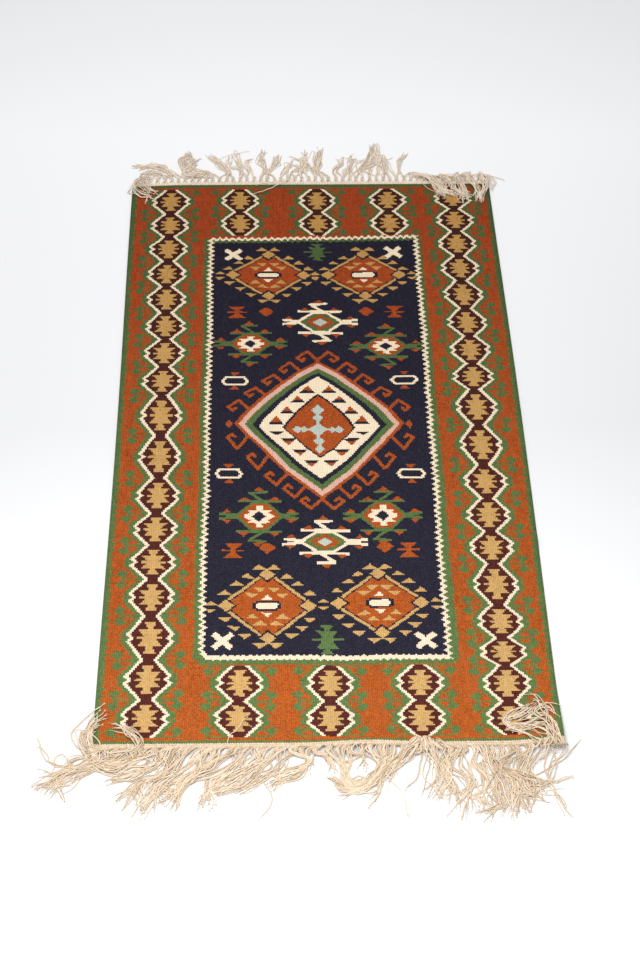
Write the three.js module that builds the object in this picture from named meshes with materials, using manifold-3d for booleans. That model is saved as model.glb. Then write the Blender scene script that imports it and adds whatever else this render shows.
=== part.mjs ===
// Flat-woven kilim rug, laid out on the floor with a knotted warp fringe at both ends.
// Millimetres, +X across the rug, +Y towards the far end, +Z up.
// The origin is the centre of the woven cloth's underside, on the floor.
//
// The woven cloth is one thin sheet. Each end has a narrow plaited heading strip, from which the warp
// ends hang in pairs of cords, tied in a row of knots, and run on as loose locks. Most locks lie on the
// floor, and those at the corners are folded back over the rug's face.

import * as THREE from 'three';
import { mergeVertices } from 'three/addons/utils/BufferGeometryUtils.js';
import Module from 'manifold-3d';

const wasm = await Module();
wasm.setup();

// ---- the woven cloth ----
const CLOTH_WIDTH = 750;
const CLOTH_LENGTH = 1448;
const CLOTH_THICKNESS = 3;
const COLUMNS = 18;
const ROWS = 18;
const SIDE_WANDER = 1.6;
const SIDE_WAVE = 235;
const FAR_SLOPE = 2.5;
const FAR_LEFT_SHORT = 6;
const FAR_LEFT_WIDTH = 120;

// ---- where the near edge stands off the floor ----
const NEAR_LIFTS = [
  { at: 60, height: 6, halfWidth: 105, depth: 70 },
  { at: 400, height: 14, halfWidth: 120, depth: 120 },
];

// ---- heading strip and the cords that leave it ----
const PIECE_GAP = 0.3;
const STRIP_WIDTH = 9;
const LOCKS = 46;
const CORD_SPREAD = 4.4;
const CORD_WIDTH = 2.3;
const CORD_HEIGHT = 2;
const KNOT_OUT = 16;

// ---- knots and loose locks ----
const LOCK_POINTS = 7;
const LAND_LENGTH = 45;
const LENGTH_VARIATION = 0.13;
const FOLD_CLEARANCE = 0.8;
const FOLD_OUT = 13;
const FOLD_RISE = 6;

// A lock's section along its length: the knot, its narrow neck, and then the loose yarns, which taper
// to the tip. 'knot' is millimetres from the start, and 'share' is a part of what is left after it.
const FLOOR_PROFILE = [
  { knot: 0, share: 0, width: 2.6, height: 2.2 },
  { knot: 1, share: 0, width: 6.2, height: 4.4 },
  { knot: 5, share: 0, width: 6.2, height: 4.4 },
  { knot: 8, share: 0, width: 3, height: 2.6 },
  { knot: 8, share: 0.2, width: 4.8, height: 3 },
  { knot: 8, share: 0.45, width: 4.6, height: 2.8 },
  { knot: 8, share: 0.72, width: 4, height: 2.5 },
  { knot: 8, share: 1, width: 1.6, height: 1.4 },
];
const FOLD_PROFILE = [
  { knot: 0, share: 0, width: 2.6, height: 2.2 },
  { knot: 1, share: 0, width: 6.2, height: 4.4 },
  { knot: 5, share: 0, width: 6.2, height: 4.4 },
  { knot: 8, share: 0, width: 3, height: 2.6 },
  { knot: 8, share: 0.07, width: 3.4, height: 2.4 },
  { knot: 8, share: 0.14, width: 3.6, height: 2.4 },
  { knot: 8, share: 0.24, width: 4, height: 2.4 },
  { knot: 8, share: 0.38, width: 4.4, height: 2.4 },
  { knot: 8, share: 0.56, width: 4.4, height: 2.4 },
  { knot: 8, share: 0.78, width: 3.8, height: 2.4 },
  { knot: 8, share: 1, width: 1.6, height: 1.4 },
];
const CORD_PROFILE = [
  { knot: 0, share: 0, width: CORD_WIDTH, height: CORD_HEIGHT },
  { knot: 0, share: 1, width: CORD_WIDTH, height: CORD_HEIGHT },
];
const FOLD_HEIGHT = 2.4;

// Loose locks on the floor, from left to right along each end. 'lean' is the angle in degrees from
// straight out, positive to the right; 'curl' is what the lean gains by the tip; 'reach' is the length.
const NEAR_LOCKS = [
  { at: -375, lean: -60, curl: -6, reach: 150 },
  { at: -290, lean: -58, curl: -6, reach: 165 },
  { at: -200, lean: -50, curl: -6, reach: 132 },
  { at: -110, lean: -40, curl: -4, reach: 112 },
  { at: -40, lean: -28, curl: -2, reach: 84 },
  { at: 20, lean: -12, curl: 0, reach: 72 },
  { at: 80, lean: -5, curl: 0, reach: 74 },
  { at: 140, lean: 0, curl: 2, reach: 96 },
  { at: 220, lean: 3, curl: 3, reach: 112 },
  { at: 290, lean: 6, curl: 5, reach: 118 },
  { at: 375, lean: 14, curl: 8, reach: 96 },
];
const FAR_LOCKS = [
  { at: -375, lean: -62, curl: -10, reach: 70 },
  { at: -300, lean: -48, curl: -8, reach: 84 },
  { at: -250, lean: -22, curl: -6, reach: 92 },
  { at: -180, lean: -16, curl: -4, reach: 104 },
  { at: -110, lean: -6, curl: -2, reach: 106 },
  { at: -60, lean: -3, curl: 0, reach: 78 },
  { at: 10, lean: 2, curl: 2, reach: 104 },
  { at: 80, lean: 6, curl: 3, reach: 84 },
  { at: 150, lean: 8, curl: 4, reach: 112 },
  { at: 205, lean: 24, curl: 8, reach: 76 },
  { at: 375, lean: 50, curl: 10, reach: 60 },
];

// Locks folded back over the face: from 'from' to 'to' along the end, 'back' past the cloth's edge,
// and drifting sideways by 'drift' on the way.
const NEAR_FOLDS = [
  { from: -376, to: -326, back: 64, drift: -6 },
  { from: 306, to: 376, back: 62, drift: -20 },
];
const FAR_FOLDS = [
  { from: -376, to: -330, back: 68, drift: 14 },
  { from: 244, to: 376, back: 66, drift: 16 },
];

const smooth = (t) => {
  const c = THREE.MathUtils.clamp(t, 0, 1);
  return c * c * (3 - 2 * c);
};

// A fixed, uneven value between -1 and 1 for lock number i.
const vary = (i, kind) => Math.sin(i * 12.9898 + kind * 78.233 + (i * i) / 7);

// Height of the cloth's underside above the floor.
function liftAt(x, y) {
  const fromNearEdge = y + CLOTH_LENGTH / 2;
  let lift = 0;
  for (const bump of NEAR_LIFTS) {
    const across = smooth(1 - Math.abs(x - bump.at) / bump.halfWidth);
    const along = smooth(1 - Math.max(fromNearEdge, 0) / bump.depth);
    lift = Math.max(lift, bump.height * across * along);
  }
  return lift;
}

const sideAt = (side, y) => CLOTH_WIDTH / 2 + SIDE_WANDER * Math.sin(y / SIDE_WAVE + 1.4 * side);

function farEdgeAt(x) {
  const short = Math.max(0, (-x - CLOTH_WIDTH / 2 + FAR_LEFT_WIDTH) / FAR_LEFT_WIDTH);
  return CLOTH_LENGTH / 2 + (FAR_SLOPE * x) / (CLOTH_WIDTH / 2) - FAR_LEFT_SHORT * short * short;
}

const nearEdgeAt = () => -CLOTH_LENGTH / 2;

// Rows of the sheet stand closer together towards its two ends.
const rowShare = (j) => Math.sin((Math.PI / 2) * ((2 * j) / ROWS - 1));

// A point of the sheet, from its column and row shares, each -1 to 1.
function sheetPoint(across, along) {
  const level = (along * CLOTH_LENGTH) / 2;
  const side = sideAt(Math.sign(across), level);
  const x = across * side;
  const end = along > 0 ? farEdgeAt(x) : -nearEdgeAt();
  const y = along * end;
  return new THREE.Vector3(x, y, liftAt(x, y));
}

function makeCloth() {
  const geometry = new THREE.BoxGeometry(2, ROWS, 1, COLUMNS, ROWS, 1);
  const place = geometry.attributes.position;
  for (let i = 0; i < place.count; i += 1) {
    const row = place.getY(i) + ROWS / 2;
    const point = sheetPoint(place.getX(i), rowShare(row));
    const top = place.getZ(i) > 0 ? CLOTH_THICKNESS : 0;
    place.setXYZ(i, point.x, point.y, point.z + top);
  }
  return geometry;
}

// One end of the rug: its edge, the way out from it, and how its locks lie.
const NEAR_END = { name: 'fringe_near', out: -1, edge: nearEdgeAt, locks: NEAR_LOCKS, folds: NEAR_FOLDS };
const FAR_END = { name: 'fringe_far', out: 1, edge: farEdgeAt, locks: FAR_LOCKS, folds: FAR_FOLDS };

// The plaited heading strip, which follows the cloth's end a small gap away.
function makeStrip(end) {
  const geometry = new THREE.BoxGeometry(2, 1, 1, COLUMNS, 1, 1);
  const place = geometry.attributes.position;
  for (let i = 0; i < place.count; i += 1) {
    const point = sheetPoint(place.getX(i), end.out);
    const outward = PIECE_GAP + (place.getY(i) * end.out > 0 ? STRIP_WIDTH : 0);
    const top = place.getZ(i) > 0 ? CLOTH_THICKNESS : 0;
    place.setXYZ(i, point.x, point.y + end.out * outward, point.z + top);
  }
  return geometry;
}

// A three-sided cord carried along a curve, with its flat side under it. A cylinder's rings are set
// square to the curve, each with its own width and height, and stay level across.
function makeCord(end, points, profile) {
  const path = points.length > 2 ? new THREE.CatmullRomCurve3(points) : new THREE.LineCurve3(...points);
  const length = path.getLength();
  const geometry = new THREE.CylinderGeometry(1, 1, 1, 3, profile.length - 1);
  const place = geometry.attributes.position;
  const base = Math.cos((2 * Math.PI) / 3);
  const halfBase = Math.sin((2 * Math.PI) / 3);
  for (let i = 0; i < place.count; i += 1) {
    const ring = profile[Math.round((place.getY(i) + 0.5) * (profile.length - 1))];
    const t = (ring.knot + ring.share * (length - ring.knot)) / length;
    const tangent = path.getTangentAt(t);
    const side = new THREE.Vector3(end.out, 0, 0).addScaledVector(tangent, -end.out * tangent.x).normalize();
    const up = side.clone().cross(tangent);
    const across = (place.getX(i) / halfBase) * (ring.width / 2);
    const above = ((place.getZ(i) - base) / (1 - base)) * ring.height;
    const point = path.getPointAt(t).addScaledVector(side, across).addScaledVector(up, above);
    place.setXYZ(i, point.x, point.y, point.z);
  }
  return geometry;
}

// Values of a table of locks at a place along the end, in straight lines between its rows.
function lockAt(table, at) {
  const next = Math.max(1, table.findIndex((row) => row.at >= at));
  const a = table[next - 1];
  const b = table[next];
  const share = (at - a.at) / (b.at - a.at);
  const mix = (key) => THREE.MathUtils.lerp(a[key], b[key], share);
  return { lean: mix('lean'), curl: mix('curl'), reach: mix('reach') };
}

// A lock on the floor: it starts straight out with its knot, swings to its lean, and sinks to the
// floor over its first stretch.
function floorLock(end, i, at, startHeight) {
  const lock = lockAt(end.locks, at);
  const stride = (lock.reach * (1 + LENGTH_VARIATION * vary(i, end.out))) / LOCK_POINTS;
  let x = at;
  let y = end.edge(at) + end.out * KNOT_OUT;
  const points = [new THREE.Vector3(x, y, startHeight)];
  for (let k = 1; k <= LOCK_POINTS; k += 1) {
    const t = k / LOCK_POINTS;
    const heading = THREE.MathUtils.degToRad(lock.lean * smooth(t * 2.4) + lock.curl * t);
    x += stride * Math.sin(heading);
    y += end.out * stride * Math.cos(heading);
    const sink = 1 - smooth((k * stride) / LAND_LENGTH);
    points.push(new THREE.Vector3(x, y, startHeight * sink));
  }
  return makeCord(end, points, FLOOR_PROFILE);
}

// A lock folded back: out from its knot, up over the strip, and down to lie on the cloth's face.
function foldedLock(end, i, at, fold, startHeight) {
  const back = fold.back * (1 + LENGTH_VARIATION * vary(i, end.out + 3));
  const edge = end.edge(at);
  const rest = CLOTH_THICKNESS + FOLD_CLEARANCE + FOLD_HEIGHT;
  const turn = KNOT_OUT + FOLD_OUT;
  const stops = [
    { out: KNOT_OUT, rise: -rest },
    { out: KNOT_OUT + 8, rise: -rest },
    { out: turn - 1, rise: -2.5 },
    { out: turn - 3, rise: 4 },
    { out: KNOT_OUT, rise: FOLD_RISE },
    { out: 2, rise: FOLD_RISE - 2.5 },
    { out: -14, rise: 1 },
    { out: -back * 0.6, rise: 0 },
    { out: -back, rise: 0 },
  ];
  const points = stops.map((stop, k) => {
    const travelled = k < 3 ? 0 : (turn - stop.out) / (turn + back);
    const x = at + fold.drift * travelled;
    const under = stop.rise === -rest ? startHeight : liftAt(x, edge + end.out * stop.out);
    const above = stop.rise === -rest ? 0 : rest + stop.rise;
    return new THREE.Vector3(x, edge + end.out * stop.out, under + above);
  });
  return makeCord(end, points, FOLD_PROFILE);
}

// One lock and the two short cords that run from the strip into its knot.
function makeLock(end, i) {
  const pitch = CLOTH_WIDTH / LOCKS;
  const at = (i + 0.5) * pitch - CLOTH_WIDTH / 2;
  const edge = end.edge(at);
  const lift = liftAt(at, edge);
  const knotLift = lift * 0.5;
  const cords = [-1, 1].map((side) => {
    const start = new THREE.Vector3(at + side * CORD_SPREAD, edge + end.out * (STRIP_WIDTH - 2), lift);
    const finish = new THREE.Vector3(at + side * 0.7, edge + end.out * (KNOT_OUT + 2.5), knotLift);
    return makeCord(end, [start, finish], CORD_PROFILE);
  });
  const fold = end.folds.find((row) => at > row.from && at < row.to);
  const lock = fold ? foldedLock(end, i, at, fold, knotLift) : floorLock(end, i, at, knotLift);
  return [...cords, lock];
}

// A closed three.js geometry as a solid, with its shared corners merged.
function toSolid(geometry) {
  const bare = geometry.clone();
  bare.deleteAttribute('normal');
  bare.deleteAttribute('uv');
  const merged = mergeVertices(bare, 1e-4);
  return new wasm.Manifold(new wasm.Mesh({
    numProp: 3,
    vertProperties: new Float32Array(merged.attributes.position.array),
    triVerts: new Uint32Array(merged.index.array),
  }));
}

function fromSolid(solid) {
  const mesh = solid.getMesh();
  const geometry = new THREE.BufferGeometry();
  geometry.setAttribute('position', new THREE.BufferAttribute(mesh.vertProperties, 3));
  geometry.setIndex(new THREE.BufferAttribute(mesh.triVerts, 1));
  geometry.computeVertexNormals();
  return geometry;
}

function makeFringe(end) {
  let solid = toSolid(makeStrip(end));
  for (let i = 0; i < LOCKS; i += 1) {
    for (const piece of makeLock(end, i)) {
      solid = solid.add(toSolid(piece));
    }
  }
  return fromSolid(solid);
}

const wool = new THREE.MeshStandardMaterial({ color: 0xa9562b, roughness: 0.92, metalness: 0 });
const warpYarn = new THREE.MeshStandardMaterial({ color: 0xd9c5a2, roughness: 0.88, metalness: 0 });

const rug = new THREE.Group();

const cloth = new THREE.Mesh(makeCloth(), wool);
cloth.name = 'kilim_cloth';
rug.add(cloth);

for (const end of [NEAR_END, FAR_END]) {
  const fringe = new THREE.Mesh(makeFringe(end), warpYarn.clone());
  fringe.name = end.name;
  rug.add(fringe);
}

export default rug;
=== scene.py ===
"""A kilim rug, flat-woven in wool with knotted warp fringe at both ends, laid flat on a pale floor."""

import math

import bpy
import numpy as np
from mathutils import Matrix, Vector


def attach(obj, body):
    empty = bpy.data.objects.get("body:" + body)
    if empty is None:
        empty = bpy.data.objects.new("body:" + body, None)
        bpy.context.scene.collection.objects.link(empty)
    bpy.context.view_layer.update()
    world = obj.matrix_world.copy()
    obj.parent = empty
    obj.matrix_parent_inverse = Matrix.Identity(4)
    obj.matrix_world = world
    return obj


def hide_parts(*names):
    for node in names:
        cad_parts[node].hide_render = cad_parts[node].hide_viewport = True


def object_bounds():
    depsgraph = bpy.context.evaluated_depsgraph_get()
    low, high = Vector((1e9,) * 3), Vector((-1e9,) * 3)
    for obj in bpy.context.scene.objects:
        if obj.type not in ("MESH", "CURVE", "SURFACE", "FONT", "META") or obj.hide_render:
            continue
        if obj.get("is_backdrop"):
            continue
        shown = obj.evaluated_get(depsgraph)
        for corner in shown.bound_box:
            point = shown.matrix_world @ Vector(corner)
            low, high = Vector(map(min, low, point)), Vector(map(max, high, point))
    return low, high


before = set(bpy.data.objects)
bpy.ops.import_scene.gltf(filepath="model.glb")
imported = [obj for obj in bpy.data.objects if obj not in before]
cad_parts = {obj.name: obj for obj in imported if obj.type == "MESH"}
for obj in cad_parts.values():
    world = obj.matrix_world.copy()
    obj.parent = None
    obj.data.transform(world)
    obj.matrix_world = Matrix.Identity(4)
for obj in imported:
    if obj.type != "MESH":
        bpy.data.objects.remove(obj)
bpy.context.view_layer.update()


# ---- Camera ----
# It stands past the near end and looks down along the rug.
CAMERA_PLACE = (-0.0965, -2.573, 2.512)
CAMERA_DOWN = math.radians(45.9)
CAMERA_ASIDE = math.radians(2.22)
CAMERA_ROLL = math.radians(1.3)
FOCAL_PIXELS = 1943
LONG_SIDE_PIXELS = 960
SENSOR = 36

view_along = Vector((
    math.sin(CAMERA_ASIDE) * math.cos(CAMERA_DOWN),
    math.cos(CAMERA_ASIDE) * math.cos(CAMERA_DOWN),
    -math.sin(CAMERA_DOWN),
))
view_right = Vector((math.cos(CAMERA_ASIDE), -math.sin(CAMERA_ASIDE), 0))
view_up = view_right.cross(view_along)
rolled_right = view_right * math.cos(CAMERA_ROLL) + view_up * math.sin(CAMERA_ROLL)
rolled_up = view_up * math.cos(CAMERA_ROLL) - view_right * math.sin(CAMERA_ROLL)

camera_data = bpy.data.cameras.new("camera")
camera_data.sensor_width = SENSOR
camera_data.lens = FOCAL_PIXELS * SENSOR / LONG_SIDE_PIXELS
camera = bpy.data.objects.new("camera", camera_data)
turn = Matrix((rolled_right, rolled_up, -view_along)).transposed().to_4x4()
camera.matrix_world = Matrix.Translation(CAMERA_PLACE) @ turn
bpy.context.collection.objects.link(camera)
bpy.context.scene.camera = camera


# ---- Woven cloth: outline ----
# One sheet of weft-faced wool, 3 mm thick, its selvages woven in one with it.
# It lies flat; the near edge stands off the floor right of the middle and at the right corner.
MM = 0.001
CLOTH_WIDTH = 750
CLOTH_LENGTH = 1448
CLOTH_THICKNESS = 3
SIDE_WANDER = 1.6
SIDE_WAVE = 235
FAR_SLOPE = 2.5
FAR_LEFT_SHORT = 6
FAR_LEFT_WIDTH = 120
NEAR_LIFTS = (
    {"at": 60, "height": 6, "half_width": 105, "depth": 70},
    {"at": 400, "height": 14, "half_width": 120, "depth": 120},
)
CREASE = {"at": -295, "height": 2.2, "half_width": 16, "from_x": 235}
SWELL_HEIGHT = 0.35


def smooth(t):
    """Smoothstep: 3 t squared less 2 t cubed, with t held to 0..1."""
    t = np.clip(t, 0, 1)
    return t * t * (3 - 2 * t)


def lift_at(x, y):
    """Height of the cloth's underside: the larger of two humps, each smoothstep across times along."""
    lift = np.zeros(np.broadcast(x, y).shape)
    for hump in NEAR_LIFTS:
        across = smooth(1 - np.abs(x - hump["at"]) / hump["half_width"])
        along = smooth(1 - np.maximum(y + CLOTH_LENGTH / 2, 0) / hump["depth"])
        lift = np.maximum(lift, hump["height"] * across * along)
    return lift


def side_at(side, y):
    """Half the width at a level: a slow sine about the nominal half width."""
    return CLOTH_WIDTH / 2 + SIDE_WANDER * np.sin(y / SIDE_WAVE + 1.4 * side)


def far_edge_at(x):
    """The far edge: a slight slope, less a square-law shortfall at the left corner."""
    short = np.maximum(0, (-x - CLOTH_WIDTH / 2 + FAR_LEFT_WIDTH) / FAR_LEFT_WIDTH)
    return CLOTH_LENGTH / 2 + FAR_SLOPE * x / (CLOTH_WIDTH / 2) - FAR_LEFT_SHORT * short * short


def near_edge_at(x):
    """The near edge is straight."""
    return -CLOTH_LENGTH / 2 + 0 * x


def sheet_places(across, along):
    """Places on the sheet from its column and row shares, -1 to 1: x is the share of the side's
    distance at that level, and y the share of the distance to the end."""
    level = along * CLOTH_LENGTH / 2
    x = across * side_at(np.sign(across), level)
    end = np.where(along > 0, far_edge_at(x), -near_edge_at(x))
    y = along * end
    return x, y, lift_at(x, y)


def crease_at(x, y):
    """A soft fold that runs in from the right edge: a bell along the rug, growing to the edge."""
    bell = np.exp(-((y - CREASE["at"]) / CREASE["half_width"]) ** 2)
    return CREASE["height"] * bell * smooth((x - CREASE["from_x"]) / (CLOTH_WIDTH / 2 - CREASE["from_x"]))


def swell_at(x, y):
    """The slight unevenness of a hand-woven face: a sum of three crossing waves."""
    return SWELL_HEIGHT * (
        np.sin(x / 31 + y / 67) + 0.8 * np.sin(y / 43 - x / 90 + 1) + 0.6 * np.sin(x / 17 - y / 29 + 2)
    )


# ---- Woven cloth: the weaver's chart ----
# Each cell is half a rib wide and about a stitch high, and holds the number of its yarn; both halves of
# a rib hold the same one. Motifs are laid over the rust ground in order.
COLUMNS = 500
ROWS = 640
PATTERN_SHIFT = 5
YARNS = ("rust", "navy", "green", "cream", "tan", "maroon", "pink", "grey")

cell_across = (np.arange(COLUMNS) // 2 + 0.5) / COLUMNS * 4 - 1
cell_along = (np.arange(ROWS) + 0.5) / ROWS * 2 - 1
X, Y = np.meshgrid(cell_across * CLOTH_WIDTH / 2, cell_along * CLOTH_LENGTH / 2 + PATTERN_SHIFT)
X = X + 0.9 * np.sin(Y / 61 + 0.7) + 0.4 * np.sin(Y / 17 + 2) + 0.6 * np.sin(2.9 * Y + X / 19)
Y = Y + 1.0 * np.sin(X / 83 + 1) + 0.4 * np.sin(X / 23)
hatched = np.floor(Y / 2.3) % 2 == 0
chart = np.zeros(X.shape, dtype=int)


def lay(mask, yarn):
    chart[mask] = YARNS.index(yarn)


def teeth(t):
    """Triangle wave from -1 to 1, with one tooth for each unit of t."""
    return 2 * np.abs(2 * (t - np.floor(t + 0.5))) - 1


def lozenge(x, y, half, high):
    """Cells where |u| / half + |v| / high is no more than 1."""
    return np.abs(X - x) / half + np.abs(Y - y) / high <= 1


def bar(x, y, half, high):
    return (np.abs(X - x) <= half) & (np.abs(Y - y) <= high)


def peak(x, y, half, high):
    """A triangle on a level base at y, with its point 'high' above it, or below where it is negative."""
    share = (Y - y) / high
    return (share >= 0) & (share <= 1) & (np.abs(X - x) <= half * (1 - share))


def stroke(points, width):
    """Cells within half a width of a chain of straight lines."""
    near = np.zeros(X.shape, dtype=bool)
    for (ax, ay), (bx, by) in zip(points, points[1:]):
        dx, dy = bx - ax, by - ay
        share = np.clip(((X - ax) * dx + (Y - ay) * dy) / (dx * dx + dy * dy), 0, 1)
        near |= np.hypot(X - ax - share * dx, Y - ay - share * dy) <= width / 2
    return near


def width_at(distance, profile):
    """Half width at a distance, from a profile of (distance, half width) pairs; nothing beyond them."""
    return np.interp(distance, *zip(*profile), left=-1, right=-1)


def stepped(x, y, half, profile):
    """A figure that is the same above and below its middle, its profile in shares of its half height."""
    return np.abs(X - x) <= width_at(np.abs(Y - y) / half, profile)


# Border chains of hexagons, joined at their waists, with a ram's horn either side of each waist.
HEXAGON_TIP = 7.5
HEXAGON_NOTCH = 32.5
HEXAGON_WIDE = 40
HEXAGON_NECK = 14.5
CREAM_LINE = 6.8
FIGURE = (
    (0, 20.5), (0.06, 20.5), (0.061, 11), (0.1, 11), (0.4, 21),
    (0.401, 5.5), (0.46, 5.5), (0.72, 10.5),
)
HORN_ROOT = 31
HORN_ROOT_SLOPE = 1.3
HORN_STEM_REACH = 54
HORN_STEM_HALF = 1.9
HATCHED_STEM_HALF = 3.4
HATCHED_END_STEM = 4.4
HATCHED_BELOW = -60
HORN_LEVELS = (0, 3.4, 6.5, 10.5, 12.5, 14.5, 17, 20, 22)
HORN_INNER = (45, 46, 47, 45.5, 39.5, 40.5, 46, 49.5, 52)
HORN_OUTER = (52, 52.5, 57.5, 62, 61.5, 59.5, 57, 54.5, 52)
HORN_SOLID_INSET = 1.4
HORN_HATCH_OUTSET = 1.6
EDGING = (7, 9.5, 9)
EDGING_TEETH = 2.4
EDGING_PITCH = 8.6


def horns(axis, level, way):
    """A green root and a stem out of the waist, hatched on the near half, ending in two hooks that curl
    back above and below it, with hatched edges; a chain's end has only the hook on its side."""
    u = np.abs(X - axis)
    d = (Y - level) * way if way else np.abs(Y - level)
    root = (u + HORN_ROOT_SLOPE * d <= HORN_ROOT) & (d >= 0)
    stem = (u <= HORN_STEM_REACH) & (d >= 0)
    if level > HATCHED_BELOW:
        stem &= d <= HORN_STEM_HALF
    else:
        stem &= (d <= (HATCHED_END_STEM if way else HATCHED_STEM_HALF)) & hatched
    inner, outer = np.interp(d, HORN_LEVELS, HORN_INNER), np.interp(d, HORN_LEVELS, HORN_OUTER)
    solid = (u >= inner + HORN_SOLID_INSET) & (u <= outer - HORN_SOLID_INSET)
    fringed = (u >= inner - HORN_HATCH_OUTSET) & (u <= outer + HORN_HATCH_OUTSET) & hatched
    head = (solid | fringed) & (d >= 0) & (d <= HORN_LEVELS[-1])
    lay(root | stem | head, "green")


def hexagon(axis, low, high):
    """Maroon within a cream line that has two points and a notch on each side, and a green line with
    a toothed edge outside it; the tan figure stands in the middle."""
    middle, half = (low + high) / 2, (high - low) / 2
    u, v = np.abs(X - axis), np.abs(Y - middle)
    inside = v <= half
    reach = np.interp(v, (0, HEXAGON_TIP, half), (HEXAGON_NOTCH, HEXAGON_WIDE, HEXAGON_NECK))
    at_notch, at_tip, at_neck = EDGING
    widths = (HEXAGON_WIDE + at_notch, HEXAGON_WIDE + at_tip, HEXAGON_NECK + at_neck)
    edging = np.interp(v, (0, HEXAGON_TIP, half), widths)
    lay(inside & (u <= edging + EDGING_TEETH * teeth(Y / EDGING_PITCH)), "green")
    lay(inside & (u <= reach), "cream")
    lay(inside & (u <= reach - CREAM_LINE), "maroon")
    lay(stepped(axis, middle, half, FIGURE), "tan")


LEFT_WAISTS = (
    712, 631, 557, 478, 399, 320, 241, 163, 84, -24,
    -133, -219, -295, -373, -455, -550, -632, -708,
)
RIGHT_WAISTS = (
    712, 643, 570, 490, 413, 328, 247, 168, 97, 1,
    -103, -187, -267, -343, -437, -508, -567, -642, -708,
)
CHAINS = (
    {"axis": -294, "waists": LEFT_WAISTS},
    {"axis": 294, "waists": RIGHT_WAISTS},
    {"axis": -151, "waists": (713, 637, 559)},
    {"axis": 9, "waists": (714, 636, 559)},
    {"axis": 157, "waists": (714, 637, 559)},
    {"axis": -144, "waists": (-563, -636, -708)},
    {"axis": 4, "waists": (-563, -636, -708)},
    {"axis": 151, "waists": (-563, -636, -708)},
)
for chain in CHAINS:
    far_end, *middle_waists, near_end = chain["waists"]
    for waist in middle_waists:
        horns(chain["axis"], waist, 0)
    horns(chain["axis"], far_end, -1)
    horns(chain["axis"], near_end, 1)
for chain in CHAINS:
    for high, low in zip(chain["waists"], chain["waists"][1:]):
        hexagon(chain["axis"], low, high)

# Green selvages and end lines, with toothed inner edges.
SELVAGE = 365
FAR_LINE = 719
NEAR_LINE = -714.5
lay(np.abs(X) >= SELVAGE + 2.8 * teeth(Y / 14.5), "green")
lay(Y >= FAR_LINE + 2.2 * teeth(X / 13), "green")
lay(Y <= NEAR_LINE + 1.8 * teeth(X / 9.5), "green")

# Navy field in a cream zigzag; green teeth lie outside it at the sides and near end, inside at the far.
# Its near left corner is cut across.
TOOTH_PITCH = 13.2
FIELD_LEFT = -207.5 + 3.8 * teeth(Y / TOOTH_PITCH)
FIELD_RIGHT = 205.5 + 0.0075 * Y + 3.8 * teeth(Y / TOOTH_PITCH + 0.3)
FIELD_TOP = 545.5 + 0.02 * (X + 210) + 3.6 * teeth(X / TOOTH_PITCH)
FIELD_BOTTOM = -546 + 1.6 * teeth(X / 11)
between_ends = (Y <= FIELD_TOP + 3.6) & (Y >= FIELD_BOTTOM - 5)
between_sides = (X >= FIELD_LEFT - 3.8) & (X <= FIELD_RIGHT + 3.8)
green_left = -221.5 + 2.6 * teeth(Y / TOOTH_PITCH)
green_right = 220 + 2.6 * teeth(Y / TOOTH_PITCH + 0.3)
lay((X >= green_left) & (X <= green_right) & between_ends, "green")
lay((Y >= -558.5 + 1.6 * teeth(X / 9)) & (Y <= -540) & (np.abs(X) <= 214), "green")
lay((Y >= -563) & (Y <= -540) & (np.abs(X) <= 214) & hatched, "green")
lay(between_ends & between_sides, "cream")
inner_sides = (X >= FIELD_LEFT + 3.4) & (X <= FIELD_RIGHT - 3.4) & (Y >= FIELD_BOTTOM + 4.4)
lay(inner_sides & (Y <= FIELD_TOP - 3.6), "green")
lay(inner_sides & (Y <= 534 + 0.02 * (X + 210) + 2.2 * teeth(X / TOOTH_PITCH + 0.35)), "navy")
across_corner = 1.2 * (X + 215) + Y + 553
lay(between_ends & between_sides & (across_corner <= 33 + 1.5 * teeth(Y / 6)), "cream")
lay(between_ends & between_sides & (across_corner <= 22), "green")


# The four star lozenges: a tan frame with a small lozenge on each corner, steps of triangles round it,
# and triangles about a cream bar inside.
FAR_STEPS = ((40, 49, 1), (60, 33, 1), (79, 15, 1), (35, -57, -1), (56, -38, -1), (77, -21, -1))
NEAR_STEPS = ((34, 62, 1), (52, 45, 1), (72, 24, 1), (39, -62, -1), (56, -45, -1), (71, -26, -1))
INNER_STEPS = ((12.5, 37, -1), (26, 25, -1), (26, -25, 1), (13, -37.5, 1))


def star_lozenge(x, y, half, high, steps, bar_half, bar_high, skip_side):
    tall = high / 71
    for side in (-1, 1):
        for out, up, way in steps:
            lay(peak(x + side * out, y + up, 11.5, 11 * way), "tan")
        if side != skip_side:
            lay(peak(x + side * (half + 12.5), y + 1, 10.5, 9.5), "tan")
            lay(peak(x + side * (half + 12.5), y - 7, 10.5, -9), "tan")
        for way in (-1, 1):
            lay(peak(x + side * 13, y + way * (high + 2), 12.5, 12 * way), "tan")
    lay(lozenge(x, y, half, high), "tan")
    lay(lozenge(x, y, half - 8.5, high - 7.2), "navy")
    lay(lozenge(x, y, half - 12, high - 10.2), "rust")
    for side in (-1, 1):
        lay(lozenge(x + side * (half - 14), y, 18, 17), "navy")
        lay(lozenge(x, y + side * (high - 11), 17, 17), "navy")
        lay(lozenge(x + side * (half - 13), y, 14, 13.5), "tan")
        lay(lozenge(x, y + side * (high - 9), 13.5, 13.5), "tan")
    for side in (-1, 1):
        for out, up, way in INNER_STEPS:
            lay(peak(x + side * out, y + up * tall, 11.5, 11 * way), "tan")
        lay(peak(x, y + side * (bar_high + 7.5), 9, side * 10.5), "cream")
    lay(bar(x, y, bar_half + 5, bar_high) | bar(x, y, bar_half, bar_high + 4), "navy")
    lay(bar(x, y, bar_half, bar_high - 3) | bar(x, y, bar_half - 3, bar_high), "cream")


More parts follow.
